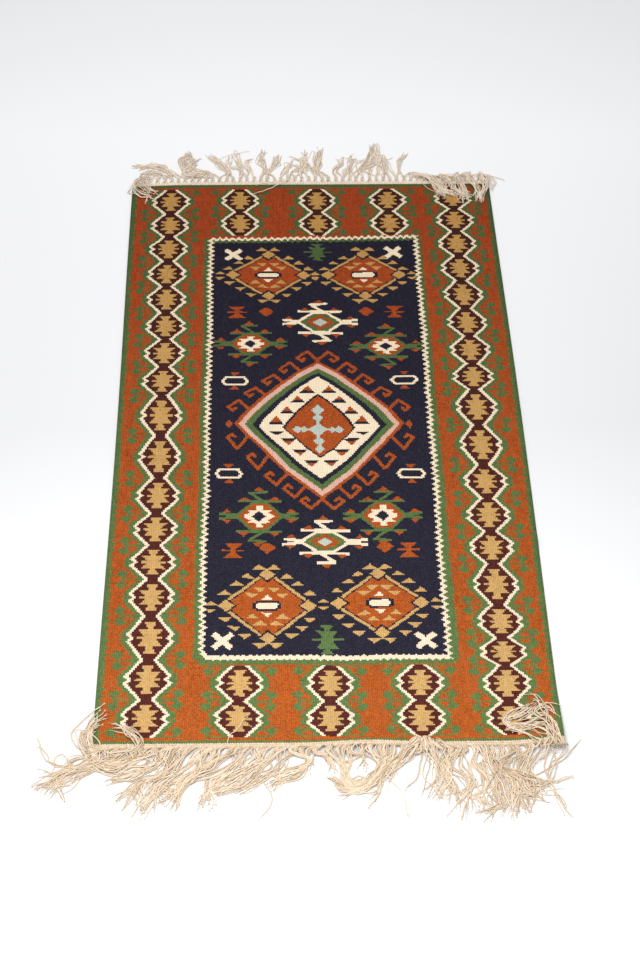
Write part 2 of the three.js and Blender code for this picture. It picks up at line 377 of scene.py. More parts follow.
star_lozenge(-92, 434, 84, 73, FAR_STEPS, 21.5, 5.5, 1)
star_lozenge(99, 434, 84, 74, FAR_STEPS, 22.5, 7, 0)
star_lozenge(-98, -434, 83, 80, NEAR_STEPS, 18.5, 7, 1)
star_lozenge(93, -428, 83, 75, NEAR_STEPS, 18.5, 7, 0)
lay(peak(4, 433, 9.5, 10), "tan")
lay(peak(4, 428, 9.5, -9), "tan")

# Small filling motifs: trees, crosses, bows, lozenges and ringed bars.
TREE = ((0, 28), (0.08, 27), (0.081, 11), (0.2, 9.5), (0.62, 19), (0.621, 4.5), (0.72, 4.5), (1, 12))
BOW = ((0, 19.5), (0.1, 19), (0.101, 3.5), (0.2, 3.5), (1, 16.5))
for x, y, half in ((7, 505, 25), (1, -508, 31)):
    lay(stepped(x, y, half, TREE), "green")
for x, y in ((-162, 496), (161, 504.5), (-173.5, -511), (166, -510.5)):
    u, v = np.abs(X - x), np.abs(Y - y)
    lay((np.abs(u - v) <= 7.5) & (u + v <= 31) & (np.maximum(u, v) <= 18.5), "cream")
for x, y in ((-155, 320.5), (154, 320.5), (-156, -309), (149, -307)):
    lay(stepped(x, y, 17, BOW), "rust")
for x, y, cut in ((-97, 322, 11), (98, 322, 11), (-97, -301, 9), (108, -299, 8)):
    lay(lozenge(x, y, 15.5, 14.5) & (Y - y <= cut), "rust")
for x, y in ((-157.5, 122.5), (163, 125), (-167.5, -122), (162, -123)):
    u, v = np.abs(X - x), np.abs(Y - y)
    lay((v <= 12.5) & (u + 0.6 * v <= 26.5), "cream")
    lay((v <= 8.2) & (u + 0.6 * v <= 20.5), "navy")
    for way in (-1, 1):
        lay(peak(x, y + way * 24, 9.5, -12 * way) & (np.abs(Y - y) >= 15), "rust")


# Hooked figures: a ringed body with arms above and below, forked arms at the sides, rust tips, and an
# S-shaped hook at each end.
def hooked_figure(x, y, half, high, yarn, line, way_up, way_down):
    u, v = np.abs(X - x), np.abs(Y - y)
    for way, turn_to in ((1, way_up), (-1, way_down)):
        neck = [(x + turn_to * 8, y + way * high), (x - turn_to * 17, y + way * (high + 22))]
        lay(stroke(neck + [(x + turn_to * 12, y + way * (high + 24))], line), yarn)
        lay(peak(x - turn_to * 2, y + way * (high + 26), 10, 11 * way), "rust")
        lay(bar(x, y + way * (high + 1), half * 0.9, line * 0.5), yarn)
        for side in (-1, 1):
            lay(peak(x + side * half * 0.6, y + way * (high + 3), 9.5, 10 * way), "rust")
            lay(peak(x + side * (half + 12), y + way * 8.5, 9, 9 * way), "rust")
    fork = (u <= half + 26) & (v <= 6.5 + 0.1 * (u - half)) & (v >= 0.19 * (u - half - 8))
    lay(fork, yarn)
    lay((u / half + v / (high * 1.45) <= 1) & (v <= high), yarn)
    inner_high = high - line * 0.8
    return (u / (half - line * 1.45) + v / (inner_high * 1.5) <= 1) & (v <= inner_high)


STAR = ((0, 27), (0.14, 25), (0.36, 15), (0.37, 16), (0.6, 22), (0.62, 6), (0.8, 5), (1, 7))
for x, y, high in ((7, 291, 31), (4, -288, 26)):
    lay(hooked_figure(x, y, 48, high, "cream", 6.6, 1, -1), "green")
    lay(stepped(x, y, high * 0.65, STAR), "rust")
    lay(lozenge(x, y, 14, high * 0.38), "grey")
EYES = (
    {"x": -129, "y": 228, "high": 29.5, "hooks": (1, 1)},
    {"x": 132, "y": 220, "high": 29.5, "hooks": (-1, -1)},
    {"x": -112, "y": -227, "high": 35.5, "hooks": (1, 1)},
    {"x": 107, "y": -226, "high": 34, "hooks": (-1, 1)},
)
for eye in EYES:
    x, y, high = eye["x"], eye["y"], eye["high"]
    lay(hooked_figure(x, y, 45, high, "green", 5.4, *eye["hooks"]), "rust")
    lay(stepped(x, y, high * 0.72, STAR), "cream")
    lay(lozenge(x, y, 12.5, high * 0.37), "navy")

# The middle medallion: nested lozenges with bowed sides, running hooks round them, and a stepped cross
# at its heart. Each ring has its half width, its top, its bottom, and the level of its side corners.
BOWED_ABOVE = ((0, 1), (0.24, 0.836), (0.424, 0.667), (0.633, 0.468), (0.842, 0.234), (1, 0))
BOWED_BELOW = ((0, 1), (0.19, 0.84), (0.4, 0.67), (0.614, 0.428), (0.854, 0.17), (1, 0))
NESTED = (
    (158, 179, -186, 8, "rust"), (149.5, 171.5, -178, 7, "pink"), (138.5, 158.5, -163, 6, "green"),
    (124, 146, -148, 4, "navy"), (112, 135.5, -134, 0, "cream"), (67.5, 88, -82, -3, "navy"),
    (63, 82, -77, -5, "rust"),
)
FAR_HOOKS = ((2, 184, 22), (36, 153, 22), (67, 121, 20), (100, 87, 18), (132, 48, 22))
NEAR_HOOKS = ((2, 187, 21), (32, 156, 25), (64, 124, 26), (97, 77, 33), (134, 27, 32))
FAR_PEAKS = ((20, 90, 21), (39, 64, 18), (59, 34, 20), (79, 6, 23))
NEAR_PEAKS = ((18, 87, 17), (38, 60, 17), (58, 31, 19), (79, 14, 9))
CROSS = (
    (0, 0, 18, 17), (-26, 0, 8, 8.5), (-38, 0, 9, 10.5), (26, 0, 8, 8.5), (38, 0, 9, 10.5),
    (0, 30, 11, 11), (0, 51, 12, 15), (0, -30, 11, 12), (0, -50, 9.5, 11),
)
for side in (-1, 1):
    for way, hooks in ((1, FAR_HOOKS), (-1, NEAR_HOOKS)):
        for x, y, rise in hooks:
            crook = ((-4, -5), (18, rise), (37, 3), (28, -6), (23, 1))
            lay(stroke([(side * (x + u), way * (y + v)) for u, v in crook], 6.2), "rust")
    lay(lozenge(side * 167, 6, 7, 11.5), "rust")
for half, top, bottom, level, yarn in NESTED:
    share = np.abs(X) / half
    below_top = Y <= level + (top - level) * width_at(share, BOWED_ABOVE)
    lay(below_top & (Y >= level + (bottom - level) * width_at(share, BOWED_BELOW)), yarn)
for side in (-1, 1):
    for way, peaks in ((1, FAR_PEAKS), (-1, NEAR_PEAKS)):
        for x, y, high in peaks:
            wedge = peak(side * x, way * y, 14.5, way * high)
            lay(wedge, "rust")
            lay(wedge & (np.abs(Y) <= y + 7), "navy")
for x, y, half, high in CROSS:
    lay(lozenge(x - 2, y - 8, half, high), "grey")
lay(bar(-2, -8, 40, 2) | bar(-2, -6, 3, 48), "grey")


# ---- Woven cloth: the sheet itself ----
# Both sides show the same yarns, the underside more coarsely. Each side is rows of cells, and
# neighbouring cells of one yarn in a row are one face; a bulged rim closes the sheet.
LONGEST_RUN = 60
LIFTED_ROWS = 60
LIFTED_RUN = 15
BACK_COLUMNS = 2
BACK_ROWS = 4
RIM_BULGE = 0.5


def runs(cells):
    """Vertex numbers and polygons for rows of merged cells. A row breaks where the yarn changes, and a
    line between two rows holds the breaks of both, so that neighbouring rows share every vertex."""
    rows, columns = cells.shape
    breaks = np.zeros((rows, columns + 1), dtype=bool)
    breaks[:, 1:columns] = cells[:, 1:] != cells[:, :-1]
    breaks[:, ::LONGEST_RUN] = True
    breaks[:LIFTED_ROWS, ::LIFTED_RUN] = True
    breaks[:, [0, columns]] = True
    kept = np.zeros((rows + 1, columns + 1), dtype=bool)
    kept[:-1] |= breaks
    kept[1:] |= breaks
    kept[[0, rows]] = True
    number = np.cumsum(kept.ravel()).reshape(kept.shape) - 1
    row, start = np.nonzero(breaks[:, :-1])
    next_start = np.nonzero(breaks[:, 1:])[1] + 1
    low_a, low_b = number[row, start], number[row, next_start]
    high_a, high_b = number[row + 1, start], number[row + 1, next_start]
    low_count = low_b - low_a + 1
    sizes = low_count + high_b - high_a + 1
    place = np.arange(sizes.sum()) - np.repeat(np.cumsum(sizes) - sizes, sizes)
    low_all = np.repeat(low_count, sizes)
    loops = np.where(
        place < low_all,
        np.repeat(low_a, sizes) + place,
        np.repeat(high_b, sizes) - (place - low_all),
    )
    return kept, number, loops, sizes, cells[row, start]


def mesh_from(name, points, loops, sizes):
    """A mesh object from points in millimetres and polygons as one list of corners and their sizes."""
    mesh = bpy.data.meshes.new(name)
    mesh.vertices.add(len(points))
    mesh.vertices.foreach_set("co", (np.asarray(points) * MM).ravel())
    mesh.loops.add(len(loops))
    mesh.loops.foreach_set("vertex_index", np.asarray(loops, dtype=np.int32))
    mesh.polygons.add(len(sizes))
    mesh.polygons.foreach_set("loop_start", np.cumsum(sizes) - sizes)
    mesh.update(calc_edges=True)
    mesh.validate()
    mesh.shade_smooth()
    obj = bpy.data.objects.new(name, mesh)
    bpy.context.collection.objects.link(obj)
    return obj


front_kept, front_number, front_loops, front_sizes, front_yarn = runs(chart)
back_chart = chart[BACK_ROWS // 2::BACK_ROWS, BACK_COLUMNS // 2::BACK_COLUMNS]
back_kept, back_number, back_loops, back_sizes, back_yarn = runs(back_chart)


def face_points(kept, top):
    """Places of a face's vertices: the sheet's outline, its lift, and on the upper side the thickness,
    crease and swell, which fade out at the rim."""
    rows, columns = np.nonzero(kept)
    across = columns / (kept.shape[1] - 1) * 2 - 1
    along = rows / (kept.shape[0] - 1) * 2 - 1
    x, y, z = sheet_places(across, along)
    inward = smooth((1 - np.maximum(np.abs(across), np.abs(along))) * 12)
    z = z + crease_at(x, y)
    if top:
        z = z + CLOTH_THICKNESS + swell_at(x, y) * inward
    return np.stack([x, y, z], axis=1)


front_points = face_points(front_kept, True)
back_points = face_points(back_kept, False)


def ring(number):
    """Vertex numbers round a face, anticlockwise from the near left corner."""
    return np.concatenate([number[0, :-1], number[:-1, -1], number[-1, :0:-1], number[:0:-1, 0]])


front_ring = ring(front_number)
back_ring = ring(back_number)
middle_points = front_points[front_ring].copy()
middle_points[:, 2] -= CLOTH_THICKNESS / 2
x_edge = np.concatenate([np.zeros(COLUMNS), np.ones(ROWS), np.zeros(COLUMNS), -np.ones(ROWS)])
middle_points[:, 0] += RIM_BULGE * x_edge
back_start = len(front_points)
middle_start = back_start + len(back_points)
middle_ring = middle_start + np.arange(len(front_ring))
upper = np.stack([
    middle_ring, np.roll(middle_ring, -1), np.roll(front_ring, -1), front_ring,
], axis=1)
step_sizes = np.concatenate([
    np.full(len(back_chart[0]), BACK_COLUMNS), np.full(len(back_chart), BACK_ROWS),
    np.full(len(back_chart[0]), BACK_COLUMNS), np.full(len(back_chart), BACK_ROWS),
])
step_ends = np.cumsum(step_sizes)
lower = []
back_next = np.roll(back_ring, -1)
for k, (size, end) in enumerate(zip(step_sizes, step_ends)):
    top_side = middle_ring[np.arange(end, end - size - 1, -1) % len(middle_ring)]
    lower.append(np.concatenate([[back_start + back_ring[k], back_start + back_next[k]], top_side]))
lower_sizes = step_sizes + 3

edge_yarn_of = np.full(len(front_points), -1)
edge_yarn_of[front_loops] = np.repeat(front_yarn, front_sizes)
upper_yarn = edge_yarn_of[front_ring]
lower_yarn = upper_yarn[(step_ends - 1) % len(front_ring)]

back_starts = np.repeat(np.cumsum(back_sizes) - back_sizes, back_sizes)
back_place = np.arange(len(back_loops)) - back_starts
turned_back = back_loops[back_starts + np.repeat(back_sizes, back_sizes) - 1 - back_place]

cloth = mesh_from(
    "kilim_cloth_weave",
    np.concatenate([front_points, back_points, middle_points]),
    np.concatenate([front_loops, turned_back + back_start, upper.ravel(), *lower]),
    np.concatenate([front_sizes, back_sizes, np.full(len(upper), 4), lower_sizes]),
)
yarn_number = np.concatenate([front_yarn, back_yarn, upper_yarn, lower_yarn])
dyed = cloth.data.attributes.new("yarn", "FLOAT", "FACE")
dyed.data.foreach_set("value", (yarn_number + 0.5) / len(YARNS))


# ---- Woven cloth: dyed wool ----
# Wool wefts packed over the warps: ribs 3 mm apart run along the rug, each a stack of short stitches.
# The colours blend along the rug from a near table to a far table, most of them deeper towards the far end:
# partly a change of dye and partly painted shade, the far end darkened where less light falls. The fibres
# are flecked.
class Dye:
    """One socket of a material's nodes; arithmetic on it adds Math nodes."""

    def __init__(self, tree, socket=None):
        self.tree, self.socket = tree, socket

    def make(self, kind, links=None, out=0, stops=None, **settings):
        """Any node: its settings first, then a ramp's stops, then values or links for its sockets."""
        node = self.tree.nodes.new(kind)
        for key, value in settings.items():
            setattr(node, key, value)
        for k, (place, colour) in enumerate(stops or ()):
            ramp = node.color_ramp
            stop = ramp.elements[k] if k < len(ramp.elements) else ramp.elements.new(place)
            stop.position, stop.color = place, (*colour, 1)
        for key, value in (links or {}).items():
            if isinstance(value, Dye):
                self.tree.links.new(value.socket, node.inputs[key])
            else:
                node.inputs[key].default_value = value
        return Dye(self.tree, node.outputs[out] if node.outputs else None)

    def maths(self, operation, *others):
        return self.make("ShaderNodeMath", dict(enumerate((self, *others))), operation=operation)

    def __add__(self, other):
        return self.maths("ADD", other)

    def __mul__(self, other):
        return self.maths("MULTIPLY", other)

    def __sub__(self, other):
        return self.maths("SUBTRACT", other)

    def __rsub__(self, other):
        return self.make("ShaderNodeMath", {0: other, 1: self}, operation="SUBTRACT")

    def __truediv__(self, other):
        return self.maths("DIVIDE", other)

    __radd__ = __add__
    __rmul__ = __mul__

    def noise(self, scale, detail, stretch=(1, 1, 1)):
        """Noise between 0 and 1 on these coordinates, stretched along an axis by a small factor."""
        placed = self.make("ShaderNodeMapping", {"Vector": self, "Scale": stretch})
        return self.make("ShaderNodeTexNoise", {"Vector": placed, "Scale": scale, "Detail": detail})

    def shaded(self, amount):
        """This colour times a grey amount."""
        grey = self.make("ShaderNodeCombineXYZ", {0: amount, 1: amount, 2: amount})
        return self.make("ShaderNodeVectorMath", {0: self, 1: grey}, operation="MULTIPLY")


def linear(red, green, blue):
    """A colour's linear values, from its 0 to 255 screen values, by the sRGB curve."""
    shares = [c / 255 for c in (red, green, blue)]
    return tuple(c / 12.92 if c <= 0.04045 else ((c + 0.055) / 1.055) ** 2.4 for c in shares)


def new_material(name):
    """A material with an emptied node tree; gives the material, a starting Dye and its surface maker."""
    material = bpy.data.materials.new(name)
    material.use_nodes = True
    tree = material.node_tree
    tree.nodes.clear()
    start = Dye(tree)

    def finish_surface(colour, rough, normal, sheen):
        shader = start.make("ShaderNodeBsdfPrincipled", {
            "Base Color": colour, "Roughness": rough, "Normal": normal,
            "Sheen Weight": sheen, "Sheen Roughness": 0.5, "Specular IOR Level": 0.1,
        })
        start.make("ShaderNodeOutputMaterial", {"Surface": shader})

    return material, start, finish_surface


# Near and far colours of each yarn: they differ partly by dye and partly by painted shade, the far ones
# darker where less light falls.
NEAR_DYES_AND_LIGHT = {
    "rust": linear(177, 87, 31), "navy": linear(39, 37, 51), "green": linear(95, 120, 67),
    "cream": linear(243, 224, 195), "tan": linear(205, 164, 103), "maroon": linear(85, 37, 30),
    "pink": linear(226, 179, 160), "grey": linear(193, 201, 189),
}
FAR_DYES_AND_SHADE = {
    "rust": linear(161, 64, 24), "navy": linear(30, 26, 42), "green": linear(77, 96, 54),
    "cream": linear(252, 230, 195), "tan": linear(195, 147, 81), "maroon": linear(63, 28, 22),
    "pink": linear(220, 173, 153), "grey": linear(184, 192, 181),
}
HEATHER = {
    "rust": 1, "navy": 1, "green": 0.8, "cream": 0.3, "tan": 0.6, "maroon": 0.8, "pink": 0.4, "grey": 0.4,
}
DYE_AND_SHADE_LENGTH = 1.2
RIB = 2 * CLOTH_WIDTH / COLUMNS * MM
STITCH = 0.0023

wool, start, finish_surface = new_material("dyed_wool_weave")
place = start.make("ShaderNodeTexCoord", out=3)
parts = {axis: start.make("ShaderNodeSeparateXYZ", {0: place}, out=k) for k, axis in enumerate("xyz")}
yarn = start.make("ShaderNodeAttribute", out=2, attribute_name="yarn")


def by_yarn(values):
    """A ramp without blending that gives each yarn its own value from a table."""
    stops = [(k / len(YARNS), values[name]) for k, name in enumerate(YARNS)]
    ramp = start.make("ShaderNodeValToRGB", {"Fac": yarn}, stops=stops)
    ramp.socket.node.color_ramp.interpolation = "CONSTANT"
    return ramp


# Blends the near and far tables along the rug: some change of dye, and painted shade deepening towards the
# far end.
dye_and_falloff = start.make(
    "ShaderNodeMix",
    {0: parts["y"] / DYE_AND_SHADE_LENGTH + 0.5, 6: by_yarn(NEAR_DYES_AND_LIGHT), 7: by_yarn(FAR_DYES_AND_SHADE)},
    out=2,
    data_type="RGBA",
)
heather = by_yarn({name: (amount,) * 3 for name, amount in HEATHER.items()})
rib_place = parts["x"] / RIB
rib_number = rib_place.maths("FLOOR")
rib_round = (rib_place * math.pi).maths("SINE").maths("ABSOLUTE")
stitch_phase = parts["y"] / STITCH + rib_number * 0.5
stitch_round = (stitch_phase * math.pi).maths("SINE").maths("ABSOLUTE")
stitch_round = stitch_round.maths("POWER", 0.6)
height = rib_round.maths("POWER", 0.55) * 0.7 + stitch_round * rib_round * 0.5
flecks = place.noise(440, 3)
passes = place.noise(60, 3, (0.25, 6, 1))
strands = place.noise(170, 2, (1, 0.3, 1))
patches = place.noise(9, 3)
mottle = (flecks - 0.5) * 1.6 + (strands - 0.5) * 0.4 + (passes - 0.5) * 0.25
# The height term darkens the colour in the grooves between ribs and stitches, a painted shade; the mottle
# and patches are the yarn's own uneven colour.
groove_shade_and_mottle = 0.65 + height * 0.19 + mottle * heather + (patches - 0.5) * 0.1
lint = (place.noise(620, 2) - 0.58).maths("MAXIMUM", 0) * 0.3
linty_wool = start.make("ShaderNodeVectorMath", {0: dye_and_falloff.shaded(groove_shade_and_mottle), 1: lint}, operation="ADD")
bump = start.make(
    "ShaderNodeBump",
    {"Height": height + flecks * 0.8, "Strength": 0.6, "Distance": 0.0008},
)
finish_surface(linty_wool, 0.95 - flecks * 0.06, bump, 0.0)
cloth.data.materials.append(wool)

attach(cloth, "root")
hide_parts("kilim_cloth")


# ---- Fringe: yarn ----
# The warps run on past the weaving as undyed yarn. Each length is a closed tube, and one mesh holds all
# the yarn at one end of the rug.
PLY_PITCH = 8
SEED = 11


def spline(points, steps):
    """Smooth paths through rows of points (n, k, d), at equal shares of the chord length: cubic Hermite
    pieces, with the slope at a point that of the line between its neighbours."""
    chords = np.linalg.norm(np.diff(points, axis=1), axis=2)
    reached = np.concatenate([np.zeros((len(points), 1)), np.cumsum(chords, axis=1)], axis=1)
    slope = np.gradient(points, axis=1)
    gap = np.gradient(reached, axis=1)
    slope = slope / gap[:, :, None]
    wanted = reached[:, -1:] * np.linspace(0, 1, steps)
    piece = (wanted[:, :, None] >= reached[:, None, 1:-1]).sum(axis=2)
    start = np.take_along_axis(reached, piece, axis=1)
    span = np.take_along_axis(reached, piece + 1, axis=1) - start
    t = ((wanted - start) / span)[:, :, None]
    span = span[:, :, None]
    p0 = np.take_along_axis(points, piece[:, :, None], axis=1)
    p1 = np.take_along_axis(points, piece[:, :, None] + 1, axis=1)
    m0 = np.take_along_axis(slope, piece[:, :, None], axis=1) * span
    m1 = np.take_along_axis(slope, piece[:, :, None] + 1, axis=1) * span
    return (
        (2 * t**3 - 3 * t**2 + 1) * p0 + (t**3 - 2 * t**2 + t) * m0
        + (3 * t**2 - 2 * t**3) * p1 + (t**3 - t**2) * m1
    )


class Yarns:
    """Collects closed tubes as one mesh, with a tone for each point that holds painted shade too, and a ply
    turn for each corner.
    """

    def __init__(self):
        self.points, self.loops, self.sizes, self.tones, self.turns = [], [], [], [], []
        self.count = 0

    def add(self, paths, radii, sides, tones, ridge=0.0):
        """Tubes round paths (n, k, 3). A sideways direction is carried along each path; the section is
        a circle, with two plies where ridge is over 0: r (1 + ridge cos(2 angle - twist))."""
        n, k = paths.shape[:2]
        along = np.gradient(paths, axis=1)
        along = along / np.linalg.norm(along, axis=2, keepdims=True)
        carried = np.cross(along[:, 0], (0, 0.01, 1))
        sideways = np.empty_like(paths)
        for step in range(k):
            ahead = along[:, step]
            carried = carried - ahead * np.sum(carried * ahead, axis=1, keepdims=True)
            carried = carried / np.linalg.norm(carried, axis=1, keepdims=True)
            sideways[:, step] = carried
        upward = np.cross(sideways, along)
        steps = np.linalg.norm(np.diff(paths, axis=1), axis=2)
        length = np.concatenate([np.zeros((n, 1)), np.cumsum(steps, axis=1)], axis=1)
        angle = np.arange(sides) * 2 * math.pi / sides
        twist = length * 2 * math.pi / PLY_PITCH
        radius = radii[:, :, None] * (1 + ridge * np.cos(2 * angle - twist[:, :, None]))
        across = (radius * np.cos(angle))[..., None] * sideways[:, :, None]
        lifted = (radius * np.sin(angle))[..., None] * upward[:, :, None]
        points = paths[:, :, None] + across + lifted
        number = self.count + np.arange(n * k * sides).reshape(n, k, sides)
        share = np.arange(sides + 1) / sides
        after = np.roll(number, -1, axis=2)
        quads = np.stack([number[:, :-1], number[:, 1:], after[:, 1:], after[:, :-1]], axis=3)
        turn = length[:, :, None] / PLY_PITCH + share
        turns = np.stack(
            [turn[:, :-1, :-1], turn[:, 1:, :-1], turn[:, 1:, 1:], turn[:, :-1, 1:]], axis=3,
        )
        caps = np.concatenate([number[:, 0], number[:, -1, ::-1]])
        self.points.append(points.reshape(-1, 3))
        self.loops.extend([quads.ravel(), caps.ravel()])
        self.sizes.extend([np.full(quads[..., 0].size, 4), np.full(len(caps), sides)])
        self.turns.extend([turns.ravel(), np.zeros(caps.size)])
        self.tones.append(np.repeat(np.broadcast_to(tones, (n, k)).ravel(), sides))
        self.count += points[..., 0].size

    def build(self, name):
        obj = mesh_from(
            name, np.concatenate(self.points), np.concatenate(self.loops), np.concatenate(self.sizes),
        )
        tone = obj.data.attributes.new("tone", "FLOAT", "POINT")
        tone.data.foreach_set("value", np.concatenate(self.tones))
        turn = obj.data.attributes.new("turn", "FLOAT", "CORNER")
        turn.data.foreach_set("value", np.concatenate(self.turns))
        return obj


# ---- Fringe: what it lies on ----
KNOT_OUT = {-1: 13, 1: 19}
LOCKS = {-1: 62, 1: 52}
# Base tone of the yarn at each end: the near fringe is painted darker than the far, a painted shade that
# offsets the brighter light at the near end.
END_TONE_AND_SHADE = {-1: 0.25, 1: 0.7}


def out_from_end(end, x, y):
    """How far a place is past the near end (-1) or the far end (1)."""
    return end * (y - (far_edge_at(x) if end > 0 else near_edge_at(x)))


def rest_height(end, x, y):
    """Height of what yarn lies on: the cloth's face, then the heading and knots, then the floor, with
    smoothstep slopes between them at the ends and sides."""
    out = out_from_end(end, x, y)
    aside = np.abs(x) - CLOTH_WIDTH / 2
    over_cloth = CLOTH_THICKNESS + 1.0 + crease_at(x, y)
    heading = smooth((out + 4) / 4) * 1.6
    lifted = lift_at(x, y) * smooth(1 - out / 36)
    on_rug = smooth(1 - (out - 18) / 14) * smooth(1 - (aside - 1) / 9)
    return (over_cloth + heading) * on_rug + lifted * smooth(1 - (aside - 1) / 9)


# ---- Fringe: headings, cords and knots ----
# At each end a cream band of twined warps closes the weaving. At the far end pairs of twisted cords
# leave it and are tied in a row of overhand knots; at the near end the yarn hangs straight from it.
STITCHES = {-1: 188, 1: 130}
STITCH_RADIUS = {-1: 1.25, 1: 1.6}
KNOT_STRAY = 2.5
CORD_RADIUS = 1.6
CORD_SPREAD = 4.4
KNOT_TURNS = 2.4


def end_place(end, x, out):
    """A place past an end edge: the edge's own line, moved outwards."""
    return (far_edge_at(x) if end > 0 else near_edge_at(x)) + end * out


def lock_places(end):
    """How far across the rug the middle of each lock at an end is."""
    locks = LOCKS[end]
    return (np.arange(locks) + 0.5) * CLOTH_WIDTH / locks - CLOTH_WIDTH / 2


def lean(end, x):
    """How far a lock leans aside as it leaves: combed over at the near end, straight at the far end."""
    return (4 * smooth((x - 150) / 60) - 11 * smooth((140 - x) / 160)) * (end < 0)


def heading_and_knots(end, yarns, rng):
    """A padded band under two rows of slanting stitches, then at the far end pairs of cords that meet in
    coiled knots."""
    x = np.linspace(-CLOTH_WIDTH / 2 + 1, CLOTH_WIDTH / 2 - 1, 90)
    for out, radius in ((2.2, 1.9), (5.2, 1.9), (7.6, 1.6)):
        path = np.stack([x, end_place(end, x, out), lift_at(x, end_place(end, x, 0)) + radius], axis=1)
        yarns.add(path[None], np.full((1, 90), radius), 6, END_TONE_AND_SHADE[end])

    count = STITCHES[end]
    at = (np.arange(count) + 0.5) * (CLOTH_WIDTH - 4) / count - CLOTH_WIDTH / 2 + 2
    t = np.linspace(-1, 1, 6)
    for out, slant in ((2.3, 1.9), (6.6, -2.2)):
        x = at[:, None] + slant * t + rng.normal(0, 0.25, (count, 1))
        y = end_place(end, x, out + 2.5 * t * (1 + rng.normal(0, 0.05, (count, 1))))
        z = lift_at(x, end_place(end, x, 0)) + 2.2 + 1.2 * np.sqrt(1 - 0.92 * t * t)
        radii = STITCH_RADIUS[end] * (1 - 0.3 * t * t) * (1 + rng.normal(0, 0.06, (count, 1)))
        # Each stitch is darker towards its ends, where it tucks under the band: painted shade.
        tones = END_TONE_AND_SHADE[end] + 0.2 + rng.normal(0, 0.14, (count, 1)) - 0.45 * t * t
        yarns.add(np.stack([x, y, z], axis=2), radii, 5, tones)

    if end < 0:
        return
    locks = LOCKS[end]
    at = lock_places(end)
    lift = lift_at(at, end_place(end, at, 0))
    stray = rng.uniform(-KNOT_STRAY, KNOT_STRAY, (2, locks, 1))
    t = np.linspace(0, 1, 9)
    for side in (-1, 1):
        x = at[:, None] + side * (CORD_SPREAD * (1 - t) + 0.9) + 0.6 * stray[0] * t
        y = end_place(end, x, 6.5 + t * (KNOT_OUT[end] - 4.5 + stray[1]))
        z = 2.3 + lift[:, None] * (1 - 0.5 * t) + 0.5 * np.sin(math.pi * t)
        radii = np.full(x.shape, CORD_RADIUS) * (1 + rng.normal(0, 0.06, (locks, 1)))
        tones = END_TONE_AND_SHADE[end] + rng.normal(0, 0.12, (locks, 1))
        yarns.add(np.stack([x, y, z], axis=2), radii, 7, tones, 0.16)

    t = np.linspace(0, 1, 30)
    turn = 2 * math.pi * KNOT_TURNS * t + rng.uniform(0, 6, (locks, 1))
    swell = np.sin(math.pi * np.clip(t * 0.9 + 0.05, 0, 1)) ** 0.4
    x = at[:, None] + 0.6 * stray[0] + 2.5 * swell * np.cos(turn)
    y = end_place(end, x, KNOT_OUT[end] + stray[1] + 5.5 * t + 1.2 * np.sin(turn))
    z = 2.7 + 0.5 * lift[:, None] + 1.9 * swell * np.sin(turn)
    # The knots are darker than the cords: painted shade in the coils.
    tones = END_TONE_AND_SHADE[end] - 0.25 + rng.normal(0, 0.12, (locks, 1))
    yarns.add(np.stack([x, y, z], axis=2), np.full(x.shape, 1.25), 6, tones)


